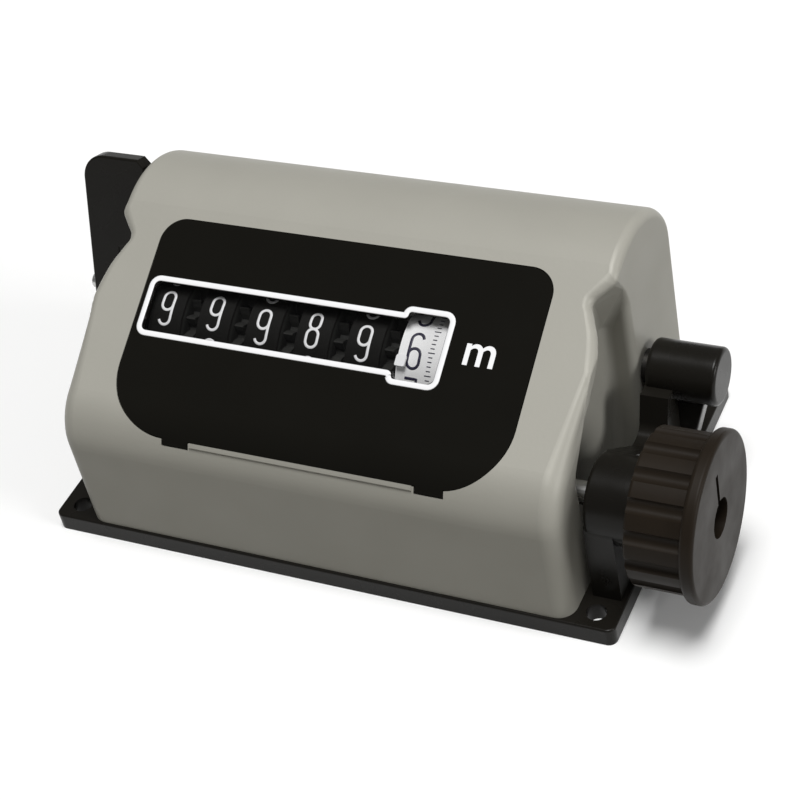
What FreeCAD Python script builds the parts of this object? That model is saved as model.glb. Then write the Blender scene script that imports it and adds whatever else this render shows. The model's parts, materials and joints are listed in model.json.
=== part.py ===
import FreeCAD, Part
import math
import os

# Cable length counter: six number drums under a sloping hood, on a flat base.
# X runs along the drum shaft, Y from the front to the back, Z up.
# The origin is the centre of the base's underside. All sizes are in mm.

# Base plate
base_depth = 63.0
base_thick = 3.5
base_corner = 1.5
ledge = 7.4
mount_hole_r = 1.75
mount_hole_inset = 4.1
mount_front_y = -28.0
mount_rear_y = 18.8

# Number drums
drum_count = 6
drum_pitch = 9.7
drum_r = 12.4
drum_rim = 1.3
drum_web = 1.2
drum_hub_r = 4.0
band_half = 3.2
units_band_right = 4.7
ring_width = 1.8
disc_width = 1.4
disc_r = 7.4
carry_tooth_r = 8.7
side_play = 0.1
units_x = 15.7
shown_digits = [9, 9, 9, 8, 9, 6]

# Shafts and running fits
shaft_r = 2.0
drive_shaft_r = 1.75
pinion_shaft_r = 1.25
fit = 0.05

# Gears: teeth and module
ring_teeth = 20
pinion_teeth = 8
carry_module = 1.0
units_teeth = 28
drive_teeth = 14
drive_module = 0.7
knob_teeth = 18
shaft_gear_teeth = 24
reset_module = 0.8
backlash = 0.16
gear_width = 3.2

# Hood
tilt = 28.6
nose_height = 28.3
nose_r = 11.0
crown_r = 15.7
front_gap = 0.5
rear_gap = 2.0
wall = 2.4
side_wall = 1.7
front_edge_r = 3.2
rear_edge_r = 1.7
recess_deep = 5.3
recess_r = 2.0
recess_edge_r = 1.5
band_depth = 10.7
band_under = 5.9
rib_depth = 38.5
break_low = 29.0
break_mid = 36.6
break_high = 40.0
break_in = 4.0
lip_high = 0.35
lip_wide = 0.7
boss_r = 3.2
boss_screw_r = 1.2
boss_inset = 5.4

# Front panel and window, measured up the slope from the nose corner
panel_width = 74.4
panel_low = 0.95
panel_high = 40.2
panel_thick = 1.0
panel_gap = 0.15
panel_top_r = 4.5
panel_low_r = 11.5
tab_in = 21.4
tab_out = 26.4
tab_shift = 0.9
tab_drop = 1.0
window_mid = 23.6
window_left = -35.4
window_step = 13.5
window_right = 21.1
window_half = 4.6
tall_half = 5.9
window_r = 1.4
lens_flange = 1.0
lens_flange_thick = 0.6
drum_along = 24.8
drum_depth = 2.3
opening_half = 9.6

# Mechanism frame
plate_front = -24.0
plate_back = 19.5
foot_front = -20.5
plate_thick = 1.0
plate_gap = 1.2
foot_depth = 6.0
rod_r = 1.75
head_r = 1.6
head_deep = 0.8
rod_places = [(-20.0, 10.5), (16.0, 10.5), (15.0, 36.5)]

# Control side
axis_drop = 26.9
drive_drop = -18.8
swing_drop = -36.0
bracket_gap = 1.5
bracket_thick = 5.0
bracket_tail = 3.6
knob_barrel_r = 7.5
barrel_edge_r = 0.8
knob_barrel_out = 3.4
drive_barrel_r = 5.1
drive_barrel_out = 5.3
drive_cap_thick = 2.0
knob_gap = 0.5
knob_length = 11.8
knob_r = 13.2
knob_flange_r = 14.3
knob_flange = 2.4
flutes = 16
flute_r = 1.5
knob_bore_r = 3.4
knob_bore_depth = 4.0
knob_notch = 1.2

# Disengaging lever
lever_gap = 1.0
lever_hub_r = 5.5
lever_hub = 6.5
lever_reach = 27.6
lever_thick = 2.7
lever_front = 6.0
lever_wide = 13.4
lever_side = 0.6
lever_lean = 19.0
lever_corner_r = 4.6
sleeve_wall = 1.0
arm_thick = 1.0
arm_half = 2.6
shaft_end = 4.0
shaft_end_r = 1.5

X = FreeCAD.Vector(1, 0, 0)
slope = math.radians(tilt)
up_y, up_z = math.cos(slope), math.sin(slope)
in_y, in_z = math.sin(slope), -math.cos(slope)
front_y = -base_depth / 2 + front_gap
rear_y = base_depth / 2 - rear_gap


def vec(x, y, z):
    return FreeCAD.Vector(x, y, z)


def cyl(r, x0, x1, y, z):
    return Part.makeCylinder(r, x1 - x0, vec(x0, y, z), X)


def tube(r_out, r_in, x0, x1, y, z):
    return cyl(r_out, x0, x1, y, z).cut(cyl(r_in, x0 - 1, x1 + 1, y, z))


def box(x0, x1, y0, y1, z0, z1):
    return Part.makeBox(x1 - x0, y1 - y0, z1 - z0, vec(x0, y0, z0))


def post(r, z0, z1, x, y):
    return Part.makeCylinder(r, z1 - z0, vec(x, y, z0))


def polar(centre, r, angle):
    return centre[0] + r * math.cos(angle), centre[1] + r * math.sin(angle)


def on_slope(along, depth):
    """Point (y, z) at a distance up the sloping face and a depth under it."""
    y = front_y + along * up_y + depth * in_y
    z = nose_height + along * up_z + depth * in_z
    return y, z


def side_face(points, x):
    """Flat face across X from (y, z) points."""
    loop = [vec(x, y, z) for y, z in points]
    return Part.Face(Part.makePolygon(loop + [loop[0]]))


def side_prism(points, x0, x1):
    return side_face(points, x0).extrude(vec(x1 - x0, 0, 0))


def rounded(shape, r, test):
    """Fillets the edges that pass a test."""
    edges = [e for e in shape.Edges if test(e)]
    return shape.makeFillet(r, edges) if edges else shape


def along_x(edge):
    a, b = edge.Vertexes[0].Point, edge.Vertexes[-1].Point
    return abs(a.y - b.y) < 1e-6 and abs(a.z - b.z) < 1e-6 and abs(a.x - b.x) > 1e-6


def fused(shapes):
    return shapes[0].multiFuse(shapes[1:]).removeSplitter()


# Places that follow from the sizes above
drum_axis = on_slope(drum_along, drum_depth + drum_r)
drive_centres = (units_teeth + drive_teeth) * drive_module / 2
reset_centres = (knob_teeth + shaft_gear_teeth) * reset_module / 2
carry_centres = (ring_teeth + pinion_teeth) * carry_module / 2
drive_angle = math.radians(drive_drop)
knob_angle = math.radians(180 + axis_drop)
drive_axis = polar(drum_axis, drive_centres, drive_angle)
knob_axis = polar(drum_axis, reset_centres, knob_angle)
swing_angle = drive_angle + math.radians(swing_drop)
pinion_axis = polar(drum_axis, carry_centres, swing_angle)
drum_x = [units_x - drum_pitch * (drum_count - 1 - k) for k in range(drum_count)]
carry_gap = drum_pitch - 2 * band_half

left_end = drum_x[0] - band_half - disc_width
plate_left = left_end - plate_gap - plate_thick
units_right = units_x + units_band_right
gear_x = units_right + 0.2
arm_right = gear_x + gear_width + 0.8
plate_right = arm_right + arm_thick + plate_gap
reset_gear_x = plate_right + plate_thick + 1.5
mech_half = max(-plate_left, reset_gear_x + gear_width + 1.2) + 0.4
floor_x = mech_half + side_wall
hood_half = floor_x + recess_deep
base_half = hood_half + ledge
bracket_x = hood_half + bracket_gap
bracket_out = bracket_x + bracket_thick
sleeve_r = drive_shaft_r + fit + sleeve_wall


def gear_points(teeth, module, centre, phase, slack, tip=1.0, root=1.2, pressure=20.0, steps=3):
    """Outline of an involute gear, one tooth centred on the phase angle."""
    pressure = math.radians(pressure)
    pitch_r = teeth * module / 2
    base_r = pitch_r * math.cos(pressure)
    tip_r = pitch_r + tip * module
    root_r = pitch_r - root * module
    half = (math.pi * module / 2 - slack) / (2 * pitch_r)
    inv = math.tan(pressure) - pressure

    def half_angle(r):
        if r <= base_r:
            return half + inv
        a = math.acos(base_r / r)
        return half + inv - (math.tan(a) - a)

    start = max(base_r, root_r)
    radii = [start + (tip_r - start) * i / steps for i in range(steps + 1)]
    if root_r < base_r - 0.01:
        radii = [root_r] + radii
    points = []
    for k in range(teeth):
        mid = phase + 2 * math.pi * k / teeth
        points += [polar(centre, r, mid - half_angle(r)) for r in radii]
        points += [polar(centre, r, mid + half_angle(r)) for r in reversed(radii)]
    return points


def meshed(toward, teeth):
    """Phase of a gear whose tooth gap faces the given direction."""
    return toward + math.pi / teeth


def outer_profile(offset=0.0, bottom=base_thick):
    """Side outline of the hood, offset inwards by a wall."""
    front = front_y + offset
    back = rear_y - offset
    nose = nose_r - offset
    crown = crown_r - offset
    nose_y = front_y + nose_r
    nose_z = nose_height + nose_r * up_z / up_y - nose_r / up_y
    crown_y = rear_y - crown_r
    crown_z = nose_height + (crown_y - front_y) * up_z / up_y - crown_r / up_y

    def at(cy, cz, r, degrees):
        y, z = polar((cy, cz), r, math.radians(degrees))
        return vec(0, y, z)

    a0 = vec(0, front, bottom)
    a1 = vec(0, front, nose_z)
    a2 = at(nose_y, nose_z, nose, 180 - (90 - tilt) / 2)
    a3 = at(nose_y, nose_z, nose, 90 + tilt)
    a4 = at(crown_y, crown_z, crown, 90 + tilt)
    a5 = at(crown_y, crown_z, crown, (90 + tilt) / 2)
    a6 = vec(0, back, crown_z)
    a7 = vec(0, back, bottom)
    edges = [Part.LineSegment(a0, a1), Part.Arc(a1, a2, a3), Part.LineSegment(a3, a4)]
    edges += [Part.Arc(a4, a5, a6), Part.LineSegment(a6, a7), Part.LineSegment(a7, a0)]
    return Part.Face(Part.Wire([e.toShape() for e in edges]))


def profile_block(offset, half_width, bottom=base_thick):
    face = outer_profile(offset, bottom)
    face.translate(vec(-half_width, 0, 0))
    return face.extrude(vec(2 * half_width, 0, 0))


def slope_point(x, along, depth=0.0):
    y, z = on_slope(along, depth)
    return vec(x, y, z)


def sliced(body, point, normal):
    """Takes away what lies beyond a plane, on the side its normal points to."""
    size = 300.0
    block = Part.makeBox(size, size, size, vec(-size / 2, -size / 2, 0))
    block.Placement = FreeCAD.Placement(point, FreeCAD.Rotation(vec(0, 0, 1), normal))
    return body.cut(block)


def square_normal(a, b, c, toward):
    normal = (b - a).cross(c - a)
    normal.normalize()
    return normal if normal.dot(toward) > 0 else normal * -1


def recess(side, grow, x_from):
    """Side recess behind the front band: it breaks out through the slope near its top."""
    low = base_thick - 5
    front = front_y + band_depth - grow
    back = front_y + rib_depth + grow
    body = box(x_from, hood_half + 5, front, back, low, nose_height + 40)
    start = slope_point(hood_half, break_low)
    inner = slope_point(hood_half - break_in, break_mid)
    foot = slope_point(hood_half, (band_depth - band_under * up_z) / up_y, band_under)
    roof = square_normal(start, inner, foot, vec(0, 0, 1))
    body = sliced(body, start + roof * grow, roof)
    near = slope_point(hood_half - break_in * 0.9, break_mid + 0.6)
    far = slope_point(hood_half - break_in * 0.2, break_high)
    back_wall = square_normal(near, far, near + vec(0, in_y, in_z), vec(0, 1, 0))
    body = sliced(body, near + back_wall * grow, back_wall)
    if grow == 0:
        body = rounded(body, recess_r, in_the_hood)
    return body if side > 0 else body.mirror(vec(0, 0, 0), X)


def in_the_hood(edge):
    c = edge.CenterOfMass
    return c.x < hood_half + 4.9 and c.z > base_thick - 4.9


def hood_block():
    """Outer form: large edge radius up to the break-out, a smaller one behind it."""
    halves = []
    for r, toward in ((front_edge_r, 1), (rear_edge_r, -1)):
        body = profile_block(0, hood_half)
        ends = [e for e in body.Edges if abs(abs(e.CenterOfMass.x) - hood_half) < 1e-6]
        body = body.makeFillet(r, [e for e in ends if e.CenterOfMass.z > base_thick + 0.1])
        halves.append(sliced(body, slope_point(0, break_mid), vec(0, up_y, up_z) * toward))
    return halves[0].fuse(halves[1])


def mouth_edges(body, block, tools):
    """Edges where the recess walls meet the outer form."""
    found = []
    outer = block.Shells[0]
    walls = [tool.Shells[0] for tool in tools]
    for e in body.Edges:
        m = e.valueAt((e.FirstParameter + e.LastParameter) / 2)
        if m.z < base_thick + 0.05 or abs(m.x) < hood_half - break_in * 2:
            continue
        spot = Part.Vertex(m)
        if spot.distToShape(outer)[0] < 1e-4 and min(spot.distToShape(w)[0] for w in walls) < 1e-4:
            found.append(e)
    return found


def slope_outline(points, depth_top, depth_bottom):
    """Prism square to the sloping face from (x, along) points."""
    def lift(p, depth):
        y, z = on_slope(p[1], depth)
        return vec(p[0], y, z)
    loop = [lift(p, depth_top) for p in points]
    face = Part.Face(Part.makePolygon(loop + [loop[0]]))
    step = depth_bottom - depth_top
    return face.extrude(vec(0, in_y * step, in_z * step))


def square_to_slope(edge):
    d = edge.Vertexes[-1].Point - edge.Vertexes[0].Point
    return d.Length > 1e-6 and abs(abs(d.y * in_y + d.z * in_z) / d.Length - 1) < 1e-6


def panel_outline(gap, top, bottom):
    half = panel_width / 2 + gap
    low = panel_low - gap
    high = panel_high + gap
    body = slope_outline([(-half, low), (half, low), (half, high), (-half, high)], top, bottom)
    corners = [e for e in body.Edges if square_to_slope(e)]
    mid_y = on_slope((low + high) / 2, 0)[0]
    body = body.makeFillet(panel_low_r + gap, [e for e in corners if e.CenterOfMass.y < mid_y])
    highs = [e for e in body.Edges if square_to_slope(e) and e.CenterOfMass.y > mid_y]
    body = body.makeFillet(panel_top_r + gap, highs)
    for side in (-1, 1):
        a, b = side * (tab_in - gap), side * (tab_out + gap)
        x0, x1 = min(a, b) + tab_shift, max(a, b) + tab_shift
        tab = [(x0, low - tab_drop), (x1, low - tab_drop), (x1, low + 2), (x0, low + 2)]
        body = body.fuse(slope_outline(tab, top, bottom))
    return body.removeSplitter()


def skin(thick, extra=0.0):
    """Sheet of the hood's surface, from an outer offset down to a thickness."""
    outer = profile_block(-extra, hood_half - 1, base_thick + 1)
    inner = profile_block(thick, hood_half, base_thick)
    return outer.cut(inner)


def window_outline(grow, top, bottom):
    left, right = window_left - grow, window_right + grow
    step = window_step - grow
    low, high = window_mid - window_half - grow, window_mid + window_half + grow
    tall_low, tall_high = window_mid - tall_half - grow, window_mid + tall_half + grow
    wide = [(left, low), (step + 2 * grow + 1, low), (step + 2 * grow + 1, high), (left, high)]
    tall = [(step, tall_low), (right, tall_low), (right, tall_high), (step, tall_high)]
    r = window_r + grow / 2
    body = slope_outline(wide, top, bottom)
    body = body.makeFillet(r, [e for e in body.Edges if square_to_slope(e) and e.CenterOfMass.x < 0])
    tall_body = slope_outline(tall, top, bottom)
    tall_body = tall_body.makeFillet(r, [e for e in tall_body.Edges if square_to_slope(e)])
    return body.fuse(tall_body).removeSplitter()


def base_plate():
    body = box(-base_half, base_half, -base_depth / 2, base_depth / 2, 0, base_thick)
    body = rounded(body, base_corner, lambda e: abs(e.Vertexes[0].Point.z - e.Vertexes[-1].Point.z) > 1)
    body = rounded(body, 0.4, lambda e: abs(e.CenterOfMass.z - base_thick) < 1e-6)
    for x, y in mount_holes():
        body = body.cut(post(mount_hole_r, -1, base_thick + 1, x, y))
    for x, y in hood_screws() + bracket_screws():
        body = body.cut(post(1.6, -1, base_thick + 1, x, y))
        body = body.cut(post(3.0, -1, 1.8, x, y))
    for x, y in foot_screws():
        body = body.cut(post(1.25, -1, base_thick + 1, x, y))
    return body


def mount_holes():
    x = base_half - mount_hole_inset
    return [(side * x, y) for side in (-1, 1) for y in (mount_front_y, mount_rear_y)]


def hood_screws():
    front = front_y + boss_inset
    back = rear_y - boss_inset
    x_front = mech_half - boss_inset
    x_back = hood_half - boss_inset
    return [(-x_front, front), (x_front, front), (-x_back, back), (x_back, back)]


def bracket_screws():
    x = bracket_x + bracket_thick / 2
    rear = drive_axis[0]
    return [(x, knob_axis[0]), (x, rear - 1), (-x, rear - 5.6), (-x, rear + 1)]


def foot_screws():
    left = plate_left + plate_thick + foot_depth / 2
    right = plate_right + plate_thick + foot_depth / 2
    return [(x, y) for x in (left, right) for y in (-11.0, 15.0)]


def hood():
    block = hood_block()
    tools = [recess(side, 0, floor_x) for side in (-1, 1)]
    body = block.cut(tools[0]).cut(tools[1]).removeSplitter()
    body = body.makeFillet(recess_edge_r, mouth_edges(body, block, tools))
    cavity = profile_block(wall, hood_half - wall, base_thick - 2)
    for side in (-1, 1):
        cavity = cavity.cut(recess(side, wall, mech_half))
    body = body.cut(cavity)
    posts = []
    for x, y in hood_screws():
        posts.append(post(boss_r, base_thick, base_thick + 8, x, y))
    body = fused([body] + posts)
    for x, y in hood_screws():
        body = body.cut(post(boss_screw_r, base_thick - 1, base_thick + 6.5, x, y))
    body = body.cut(skin(panel_thick + 0.1, 1.0).common(panel_outline(panel_gap, -6, 9)))
    body = fused([body, panel_lip()])
    left, right = window_left - 1.3, gear_x + gear_width + 1
    low, high = window_mid - opening_half, window_mid + opening_half
    opening = [(left, low), (right, low), (right, high), (left, high)]
    body = body.cut(slope_outline(opening, -1, 6))
    body = body.cut(cyl(sleeve_r + 0.25, -hood_half - 1, -mech_half + 4, *drive_axis))
    body = body.cut(cyl(drive_shaft_r + 0.25, mech_half - 4, hood_half + 1, *drive_axis))
    body = body.cut(cyl(shaft_r + 0.4, mech_half - 4, hood_half + 1, *knob_axis))
    return body


def panel_lip():
    """Raised line on the hood under the panel, between its two tabs."""
    top = panel_low - panel_gap
    left, right = tab_shift - tab_in + 0.5, tab_shift + tab_in - 0.5
    outline = [(left, top - lip_wide), (right, top - lip_wide), (right, top), (left, top)]
    return skin(panel_thick, lip_high).common(slope_outline(outline, -6, 9))


def front_panel():
    body = skin(panel_thick).common(panel_outline(0, -6, 9))
    return body.cut(window_outline(0.1, -3, 6))


def window_lens():
    front = window_outline(0, 0, panel_thick + 0.1)
    back = window_outline(lens_flange, panel_thick, panel_thick + lens_flange_thick)
    return front.fuse(back).removeSplitter()


def right_bracket():
    """Bearing bracket on the base: knob barrel in front, drive barrel behind."""
    ky, kz = knob_axis
    dy, dz = drive_axis
    r = knob_barrel_r
    low = base_thick
    front = ky - r
    valley = dy - 9.5
    points = [(front, low), (front, kz), (ky + r * 0.7, kz + r * 0.71), (valley - 3.5, low + 12.5)]
    points += [(valley, low + 12.5), (valley + 2.2, dz), (dy + bracket_tail, dz), (dy + bracket_tail, low)]
    plate = side_prism(points, bracket_x, bracket_out)
    plate = rounded(plate, 2.4, lambda e: along_x(e) and e.Vertexes[0].Point.z > low + 12
                    and e.Vertexes[0].Point.y < valley + 1)
    knob_end = bracket_out + knob_barrel_out
    drive_end = bracket_out + drive_barrel_out
    body = fused([plate, barrel(r, knob_end, ky, kz), barrel(drive_barrel_r, drive_end, dy, dz)])
    body = body.cut(cyl(shaft_r + 1.4, bracket_x - 1, knob_end + 1, ky, kz))
    body = body.cut(cyl(drive_shaft_r + 1.4, bracket_x - 1, drive_end + 1, dy, dz))
    for x, y in bracket_screws()[:2]:
        body = body.cut(post(boss_screw_r, low - 1, low + 7, x, y))
    return body


def barrel(r, x_end, y, z):
    """Bearing barrel whose rim beside the hood is rounded."""
    body = cyl(r, bracket_x, x_end, y, z)
    return rounded(body, barrel_edge_r, lambda e: abs(e.CenterOfMass.x - bracket_x) < 1e-6)


def left_bracket():
    dy, dz = drive_axis
    low = base_thick
    points = [(dy - 9.0, low), (dy - 5.2, dz), (dy + 3.6, dz), (dy + bracket_tail, low)]
    x0, x1 = -bracket_out, -bracket_x
    body = fused([side_prism(points, x0, x1), cyl(5.2, x0, x1, dy, dz)])
    body = body.cut(cyl(sleeve_r + fit, x0 - 1, x1 + 1, dy, dz))
    for x, y in bracket_screws()[2:]:
        body = body.cut(post(boss_screw_r, low - 1, low + 7, x, y))
    return body


def side_plate(x0, holes, points):
    """Pressed steel plate with a foot folded onto the base."""
    body = side_prism(points, x0, x0 + plate_thick)
    body = rounded(body, 3.0, lambda e: along_x(e) and e.Vertexes[0].Point.z > base_thick + 4)
    a, b = x0, x0 + plate_thick + foot_depth
    foot = box(a, b, foot_front, plate_back, base_thick, base_thick + plate_thick)
    body = fused([body, foot])
    for r, (y, z) in holes:
        body = body.cut(cyl(r, x0 - 1, x0 + plate_thick + 1, y, z))
    x_face, side = (x0, -1) if x0 < 0 else (x0 + plate_thick, 1)
    for y, z in rod_places:
        body = body.cut(cyl(0.85, x0 - 1, x0 + plate_thick + 1, y, z))
        body = body.cut(sunk_cone(x_face, side, 0.05, y, z))
    for x, y in foot_screws():
        if a < x < b:
            body = body.cut(post(1.3, base_thick - 1, base_thick + plate_thick + 1, x, y))
    return body


def plate_points():
    low = base_thick
    front, back = plate_front, plate_back
    return [(front, low), (front, 25.5), (-12.0, 33.0), (0.0, 40.0), (back - 1, 41.0), (back, 30.0), (back, low)]


def left_side_plate():
    holes = [(shaft_r + 1.0, drum_axis), (sleeve_r + fit, drive_axis)]
    return side_plate(plate_left, holes, plate_points())


def right_side_plate():
    holes = [(shaft_r + 1.0, drum_axis), (drive_shaft_r + 1.0, drive_axis), (shaft_r + 1.0, knob_axis)]
    return side_plate(plate_right, holes, plate_points())


def bush(r_in, r_out, x0, plate, y, z):
    """Flanged bush pressed into a plate."""
    body = tube(r_out, r_in, x0, x0 + plate, y, z)
    return fused([body, tube(r_out + 0.8, r_in, x0 + plate, x0 + plate + 0.6, y, z)])


def plate_bushes():
    parts = [bush(shaft_r + fit, shaft_r + 1.0, plate_right, plate_thick, *drum_axis)]
    parts.append(bush(shaft_r + fit, shaft_r + 1.0, plate_right, plate_thick, *knob_axis))
    parts.append(bush(drive_shaft_r + fit, drive_shaft_r + 1.0, plate_right, plate_thick, *drive_axis))
    left = bush(shaft_r + fit, shaft_r + 1.0, plate_left, plate_thick, *drum_axis)
    parts.append(left)
    return Part.makeCompound(parts)


def tie_rods():
    x0, x1 = plate_left + plate_thick, plate_right
    rods = []
    for y, z in rod_places:
        rod = cyl(rod_r, x0, x1, y, z)
        rod = rod.cut(cyl(0.8, x0 - 1, x0 + 4, y, z)).cut(cyl(0.8, x1 - 4, x1 + 1, y, z))
        rods.append(rod)
    return Part.makeCompound(rods)


def tie_rod_screws():
    parts = []
    for y, z in rod_places:
        parts.append(side_screw(plate_left, -1, y, z))
        parts.append(side_screw(plate_right + plate_thick, 1, y, z))
    return Part.makeCompound(parts)


def sunk_cone(x, side, grow, y, z):
    """Cone of a countersunk head whose flat lies at x, facing the given side."""
    start = vec(x - side * head_deep, y, z)
    cone = Part.makeCone(0.8 + grow, head_r + grow, head_deep, start, vec(side, 0, 0))
    return cone


def side_screw(x, side, y, z):
    """Countersunk screw along X, its head flush with x."""
    a, b = sorted((x - side * 0.1, x - side * (plate_thick + 3)))
    body = fused([cyl(0.8, a, b, y, z), sunk_cone(x, side, 0, y, z)])
    c, d = sorted((x - side * 0.4, x + side))
    return body.cut(box(c, d, y - 2, y + 2, z - 0.2, z + 0.2))


def foot_screws_set():
    parts = []
    top = base_thick + plate_thick
    for x, y in foot_screws():
        screw = fused([post(1.25, 0.5, top, x, y), post(2.3, top, top + 1.4, x, y)])
        parts.append(screw.cut(box(x - 3, x + 3, y - 0.3, y + 0.3, top + 0.8, top + 3)))
    return Part.makeCompound(parts)


def under_screws(places, length):
    """Screws put in from under the base, heads in their counterbores."""
    parts = []
    for x, y in places:
        screw = fused([post(boss_screw_r, 1.8, base_thick + length, x, y), post(2.6, 0.3, 1.8, x, y)])
        parts.append(screw.cut(box(x - 3, x + 3, y - 0.35, y + 0.35, 0, 0.9)))
    return Part.makeCompound(parts)


def digit_drum(k):
    """Number drum: rim and web, ring gear on the right, carry disc on the left."""
    x = drum_x[k]
    y, z = drum_axis
    units = k == drum_count - 1
    right = units_right if units else x + band_half
    left = x - band_half
    rim = tube(drum_r, drum_r - drum_rim, left, right, y, z)
    web = tube(drum_r - drum_rim / 2, shaft_r + fit, x - drum_web / 2, x + drum_web / 2, y, z)
    hub_end = right if units else right + ring_width
    hub = tube(drum_hub_r, shaft_r + fit, left - disc_width, hub_end, y, z)
    disc = tube(disc_r, shaft_r + fit, left - disc_width, left, y, z)
    shapes = [rim, web, hub, disc]
    phase = swing_angle
    carry = phase + math.pi + math.radians(36 * (shown_digits[k] - 4.5))
    for turn in (-0.17, 0.17):
        shapes.append(carry_tooth(x, carry + turn))
    shapes.append(tube(drum_r - drum_rim / 2, disc_r - 1.5, left, left + 1.0, y, z))
    if not units:
        points = gear_points(ring_teeth, carry_module, drum_axis, phase, backlash, 0.9, 1.1, 30.0, 2)
        ring = side_prism(points, right, right + ring_width).cut(cyl(shaft_r + fit, right - 1, right + 5, y, z))
        shapes.append(ring)
        shapes.append(tube(drum_r - drum_rim / 2, 7.0, right - 0.9, right, y, z))
    return fused(shapes)


def carry_tooth(x, angle):
    left = x - band_half
    points = [polar(drum_axis, disc_r - 0.6, angle - 0.07), polar(drum_axis, carry_tooth_r, angle - 0.045)]
    points += [polar(drum_axis, carry_tooth_r, angle + 0.045), polar(drum_axis, disc_r - 0.6, angle + 0.07)]
    return side_prism(points, left - disc_width, left)


def units_gear():
    points = gear_points(units_teeth, drive_module, drum_axis, drive_angle, backlash, 0.9, 1.15, 25.0)
    body = side_prism(points, gear_x, gear_x + gear_width)
    hub = cyl(drum_hub_r + 1, units_right, gear_x + gear_width + 0.6, *drum_axis)
    body = fused([body, hub])
    body = body.cut(cyl(shaft_r + fit, gear_x - 2, gear_x + gear_width + 2, *drum_axis))
    for k in range(6):
        y, z = polar(drum_axis, 7.4, k * math.pi / 3)
        body = body.cut(cyl(1.3, gear_x - 1, gear_x + gear_width + 1, y, z))
    return body


def transfer_pinion(k):
    """Eight teeth on the ring gear's side, every other one kept on the disc's side."""
    x0 = drum_x[k] + band_half + side_play
    x1 = drum_x[k] + band_half + carry_gap - side_play
    mid = drum_x[k] + band_half + ring_width + side_play / 2
    phase = meshed(swing_angle + math.pi, pinion_teeth)
    points = gear_points(pinion_teeth, carry_module, pinion_axis, phase, backlash, 0.9, 1.1, 30.0, 3)
    full = side_prism(points, x0, x1)
    root_r = (pinion_teeth / 2 - 1.1) * carry_module
    tip_r = (pinion_teeth / 2 + 1.2) * carry_module
    for n in range(0, pinion_teeth, 2):
        a = phase + 2 * math.pi * n / pinion_teeth
        w = math.pi / pinion_teeth
        cut = [polar(pinion_axis, root_r, a - w), polar(pinion_axis, tip_r * 1.2, a - w)]
        cut += [polar(pinion_axis, tip_r * 1.2, a + w), polar(pinion_axis, root_r, a + w)]
        full = full.cut(side_prism(cut, mid, x1 + 1))
    return full.cut(cyl(pinion_shaft_r + fit, x0 - 1, x1 + 1, *pinion_axis))


def drum_shaft():
    x1 = reset_gear_x + gear_width + 1.0
    return cyl(shaft_r, plate_left, x1, *drum_axis)


def drum_shaft_gear():
    points = gear_points(shaft_gear_teeth, reset_module, drum_axis, knob_angle, backlash)
    body = side_prism(points, reset_gear_x, reset_gear_x + gear_width)
    body = body.cut(cyl(shaft_r, reset_gear_x - 1, reset_gear_x + gear_width + 1, *drum_axis))
    for k in range(5):
        y, z = polar(drum_axis, 5.6, 0.3 + k * 2 * math.pi / 5)
        body = body.cut(cyl(1.5, reset_gear_x - 1, reset_gear_x + gear_width + 1, y, z))
    return body


def knob_gear():
    phase = meshed(knob_angle + math.pi, knob_teeth)
    points = gear_points(knob_teeth, reset_module, knob_axis, phase, backlash)
    body = side_prism(points, reset_gear_x, reset_gear_x + gear_width)
    return body.cut(cyl(shaft_r, reset_gear_x - 1, reset_gear_x + gear_width + 1, *knob_axis))


def drive_pinion():
    phase = meshed(drive_angle + math.pi, drive_teeth)
    points = gear_points(drive_teeth, drive_module, drive_axis, phase, backlash, 0.9, 1.15, 25.0)
    body = side_prism(points, gear_x, gear_x + gear_width)
    return body.cut(cyl(drive_shaft_r, gear_x - 1, gear_x + gear_width + 1, *drive_axis))


def drum_spacers():
    y, z = drum_axis
    left = tube(3.4, shaft_r + fit, plate_left + plate_thick + 0.7, left_end - side_play, y, z)
    right = tube(3.4, shaft_r + fit, gear_x + gear_width + 0.7, plate_right - side_play, y, z)
    return Part.makeCompound([left, right])


def knob_x():
    return bracket_out + knob_barrel_out + knob_gap


def knob_shaft():
    x1 = knob_x() + knob_length - knob_bore_depth
    body = cyl(shaft_r, plate_right - 0.6, x1, *knob_axis)
    return body.cut(cyl(1.0, x1 - 6, x1 + 1, *knob_axis))


def reset_knob():
    """Fluted knob with a plain outer flange, bored for its screw."""
    y, z = knob_axis
    x0 = knob_x()
    x1 = x0 + knob_length
    body = rounded(cyl(knob_r, x0, x1 - knob_flange, y, z), 0.6, lambda e: abs(e.CenterOfMass.x - x0) < 1e-6)
    for k in range(flutes):
        fy, fz = polar(knob_axis, knob_r + flute_r * 0.45, 2 * math.pi * k / flutes)
        body = body.cut(cyl(flute_r, x0 - 1, x1 - knob_flange, fy, fz))
    flange = cyl(knob_flange_r, x1 - knob_flange, x1, y, z)
    flange = rounded(flange, 0.7, lambda e: len(e.Vertexes) == 1)
    body = fused([body, flange])
    body = body.cut(cyl(shaft_r, x0 - 1, x1 - knob_bore_depth, y, z))
    body = body.cut(cyl(knob_bore_r, x1 - knob_bore_depth, x1 + 1, y, z))
    mark = box(x1 - knob_notch, x1 + 1, y - 0.5, y + 0.5, z + knob_bore_r - 0.5, z + knob_flange_r - 5)
    return body.cut(mark)


def knob_screw():
    y, z = knob_axis
    seat = knob_x() + knob_length - knob_bore_depth
    body = fused([cyl(1.0, seat - 5, seat, y, z), cyl(2.6, seat, seat + 1.8, y, z)])
    return body.cut(box(seat + 0.9, seat + 3, y - 0.35, y + 0.35, z - 3, z + 3))


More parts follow.
